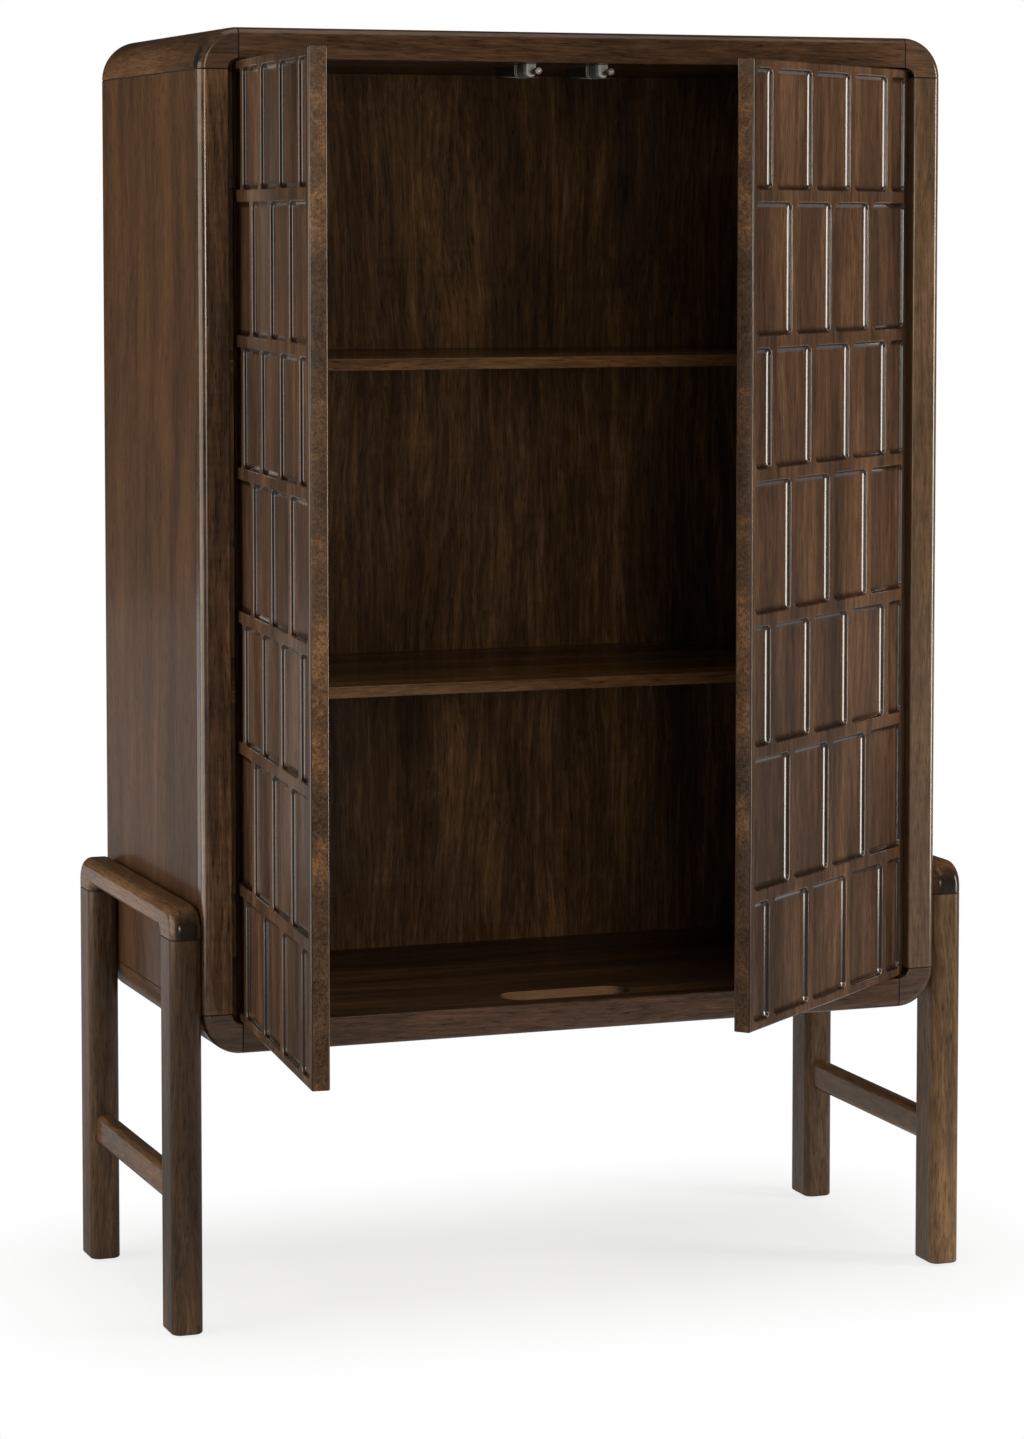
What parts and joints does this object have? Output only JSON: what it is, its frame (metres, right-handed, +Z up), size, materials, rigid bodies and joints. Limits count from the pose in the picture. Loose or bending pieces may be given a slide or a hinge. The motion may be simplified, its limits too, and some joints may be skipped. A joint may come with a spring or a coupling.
{
  "type": "accent cabinet",
  "caption": "Tall storage cabinet with a rounded case, carved inset double doors, shelves and a push latch per door, carried between two inverted-U leg frames.",
  "frame": {"origin": "on the floor, under the centre of the case", "axes": "+Z up, +X to the right seen from the front, +Y from the front to the back"},
  "size_m": [1.016, 0.8414, 1.524],
  "materials": {
    "frame_wood": "satin dark walnut stain",
    "case_wood": "satin dark walnut stain",
    "back_wood": "satin dark walnut stain",
    "shelf_wood": "satin dark walnut stain",
    "leg_wood": "satin dark walnut stain",
    "door_wood": "satin dark walnut stain",
    "screw_steel": "zinc plated",
    "hinge_steel": "zinc plated",
    "support_steel": "zinc plated",
    "latch_plate": "zinc plated",
    "latch_nose": "bright",
    "latch_body": "satin grey",
    "glide_nylon": "matt"
  },
  "bodies": {
    "case": {"top_rail": "frame_wood", "bottom_rail": "frame_wood", "left_stile": "frame_wood", "right_stile": "frame_wood", "top_left_frame_corner": "frame_wood", "top_right_frame_corner": "frame_wood", "bottom_left_frame_corner": "frame_wood", "bottom_right_frame_corner": "frame_wood", "top_panel": "case_wood", "bottom_panel": "case_wood", "left_side_panel": "case_wood", "right_side_panel": "case_wood", "top_left_corner_post": "case_wood", "top_right_corner_post": "case_wood", "bottom_left_corner_post": "case_wood", "bottom_right_corner_post": "case_wood", "back_panel": "back_wood", "upper_shelf": "shelf_wood", "lower_shelf": "shelf_wood", "left_leg_rail": "leg_wood", "left_front_leg": "leg_wood", "left_back_leg": "leg_wood", "left_stretcher": "leg_wood", "right_leg_rail": "leg_wood", "right_front_leg": "leg_wood", "right_back_leg": "leg_wood", "right_stretcher": "leg_wood", "back_screws": "screw_steel", "left_leg_bolts": "screw_steel", "left_hinge_arm_screws": "screw_steel", "right_leg_bolts": "screw_steel", "right_hinge_arm_screws": "screw_steel", "left_hinge_arms": "hinge_steel", "right_hinge_arms": "hinge_steel", "upper_shelf_supports": "support_steel", "lower_shelf_supports": "support_steel", "left_latch_housing": "latch_body", "right_latch_housing": "latch_body", "left_foot_glides": "glide_nylon", "right_foot_glides": "glide_nylon"},
    "left_door_leaf": {"left_door": "door_wood", "left_hinge_cups": "hinge_steel", "left_hinge_pins": "hinge_steel", "left_hinge_cup_screws": "screw_steel", "left_strike": "latch_plate"},
    "right_door_leaf": {"right_door": "door_wood", "right_hinge_cups": "hinge_steel", "right_hinge_pins": "hinge_steel", "right_hinge_cup_screws": "screw_steel", "right_strike": "latch_plate"},
    "left_plunger": {"left_latch_plunger": "latch_nose"},
    "right_plunger": {"right_latch_plunger": "latch_nose"}
  },
  "joints": [
    {"name": "left_door_swing", "type": "hinge", "parent": "case", "child": "left_door_leaf", "pos_m": [-0.413, -0.2095, 0.9275], "axis": [0, 0, -1], "range_deg": [-95.5, 2.5]},
    {"name": "right_door_swing", "type": "hinge", "parent": "case", "child": "right_door_leaf", "pos_m": [0.413, -0.2095, 0.9275], "axis": [0, 0, 1], "range_deg": [-40.5, 57.5]},
    {"name": "left_latch_press", "type": "slide", "parent": "case", "child": "left_plunger", "axis": [0, 1, 0], "range_m": [0, 0.004], "stiffness_N_per_m": 400, "springref_m": -0.003},
    {"name": "right_latch_press", "type": "slide", "parent": "case", "child": "right_plunger", "axis": [0, 1, 0], "range_m": [0, 0.004], "stiffness_N_per_m": 400, "springref_m": -0.003}
  ]
}
